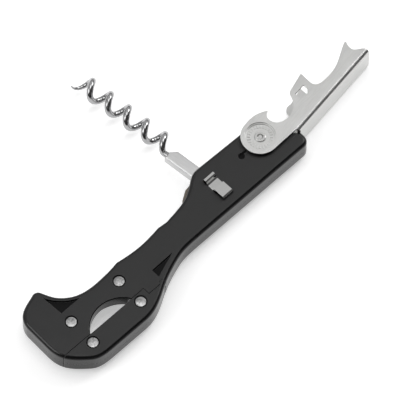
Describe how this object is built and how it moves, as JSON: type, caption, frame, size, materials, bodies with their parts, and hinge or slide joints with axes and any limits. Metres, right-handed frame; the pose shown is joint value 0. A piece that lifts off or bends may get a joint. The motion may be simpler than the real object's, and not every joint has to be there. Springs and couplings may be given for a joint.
{
  "type": "waiters corkscrew",
  "caption": "Folding waiters corkscrew: hooked black handle with hinged foil cutter, swing-out worm and a channel lever with a notch and a long step.",
  "frame": {"origin": "centre of the bounding box's base, the tool lying on its rear face with the lever and worm open", "axes": "+X along the handle from the hooked end to the tip of the open lever, +Y the way the open worm points, +Z out of the front face"},
  "size_m": [0.1782, 0.0954, 0.0137],
  "materials": {
    "black_plastic": "fine satin moulded texture",
    "axle_steel": "turned, domed and lightly polished",
    "wheel_steel": "ground, with a bright bevelled edge",
    "worm_chrome": "polished bright plating",
    "shank_steel": "folded sheet, satin plated",
    "liner_steel": "sheared sheet",
    "pin_steel": "drawn wire, cut and chamfered",
    "lever_steel": "pressed sheet with a fine satin grain",
    "rivet_steel": "rolled ends with a punched centre",
    "bushing_steel": "turned tube",
    "catch_steel": "bent spring strip, bright"
  },
  "bodies": {
    "handle": {"handle_front_shell": "black_plastic", "handle_rear_shell": "black_plastic", "hook_axle": "axle_steel", "waist_axle": "axle_steel", "worm_pivot_pin": "pin_steel", "worm_liner_front": "liner_steel", "worm_liner_rear": "liner_steel", "lever_bushing": "bushing_steel", "lever_catch": "catch_steel"},
    "jaw": {"jaw_front_shell": "black_plastic", "jaw_rear_shell": "black_plastic", "jaw_hinge_pin": "pin_steel", "jaw_outer_axle": "axle_steel", "jaw_inner_axle": "axle_steel"},
    "hook_wheel": {"hook_cutting_wheel": "wheel_steel"},
    "waist_wheel": {"waist_cutting_wheel": "wheel_steel"},
    "jaw_outer_wheel": {"jaw_outer_cutting_wheel": "wheel_steel"},
    "jaw_inner_wheel": {"jaw_inner_cutting_wheel": "wheel_steel"},
    "worm": {"worm_screw": "worm_chrome", "worm_shank": "shank_steel"},
    "rivet": {"lever_rivet": "rivet_steel"},
    "lever": {"lever": "lever_steel"}
  },
  "joints": [
    {"name": "jaw_swing", "type": "hinge", "parent": "handle", "child": "jaw", "pos_m": [-0.03807, -0.04082, 0.0067], "axis": [0, 0, 1], "range_deg": [0, 60]},
    {"name": "hook_wheel_spin", "type": "hinge", "parent": "handle", "child": "hook_wheel", "pos_m": [-0.07507, -0.02882, 0.0067], "axis": [0, 0, 1], "continuous": true},
    {"name": "waist_wheel_spin", "type": "hinge", "parent": "handle", "child": "waist_wheel", "pos_m": [-0.04987, -0.02882, 0.0067], "axis": [0, 0, 1], "continuous": true},
    {"name": "jaw_outer_wheel_spin", "type": "hinge", "parent": "jaw", "child": "jaw_outer_wheel", "pos_m": [-0.07507, -0.04092, 0.0067], "axis": [0, 0, 1], "continuous": true},
    {"name": "jaw_inner_wheel_spin", "type": "hinge", "parent": "jaw", "child": "jaw_inner_wheel", "pos_m": [-0.04987, -0.04092, 0.0067], "axis": [0, 0, 1], "continuous": true},
    {"name": "lever_swing", "type": "hinge", "parent": "handle", "child": "rivet", "pos_m": [0.03233, -0.02162, 0.0067], "axis": [0, 0, 1], "range_deg": [0, 110], "deforming": ["lever_catch"]},
    {"name": "lever_close", "type": "hinge", "parent": "rivet", "child": "lever", "pos_m": [0.03233, -0.02162, 0.0067], "axis": [0, 0, 1], "range_deg": [0, 64]},
    {"name": "worm_fold", "type": "hinge", "parent": "handle", "child": "worm", "pos_m": [0.00623, -0.02512, 0.0067], "axis": [0, 0, 1], "range_deg": [0, 79.5]}
  ],
  "couplings": [
    {"joint": "worm_fold", "follows": "lever_close", "ratio": 1.2422}
  ]
}
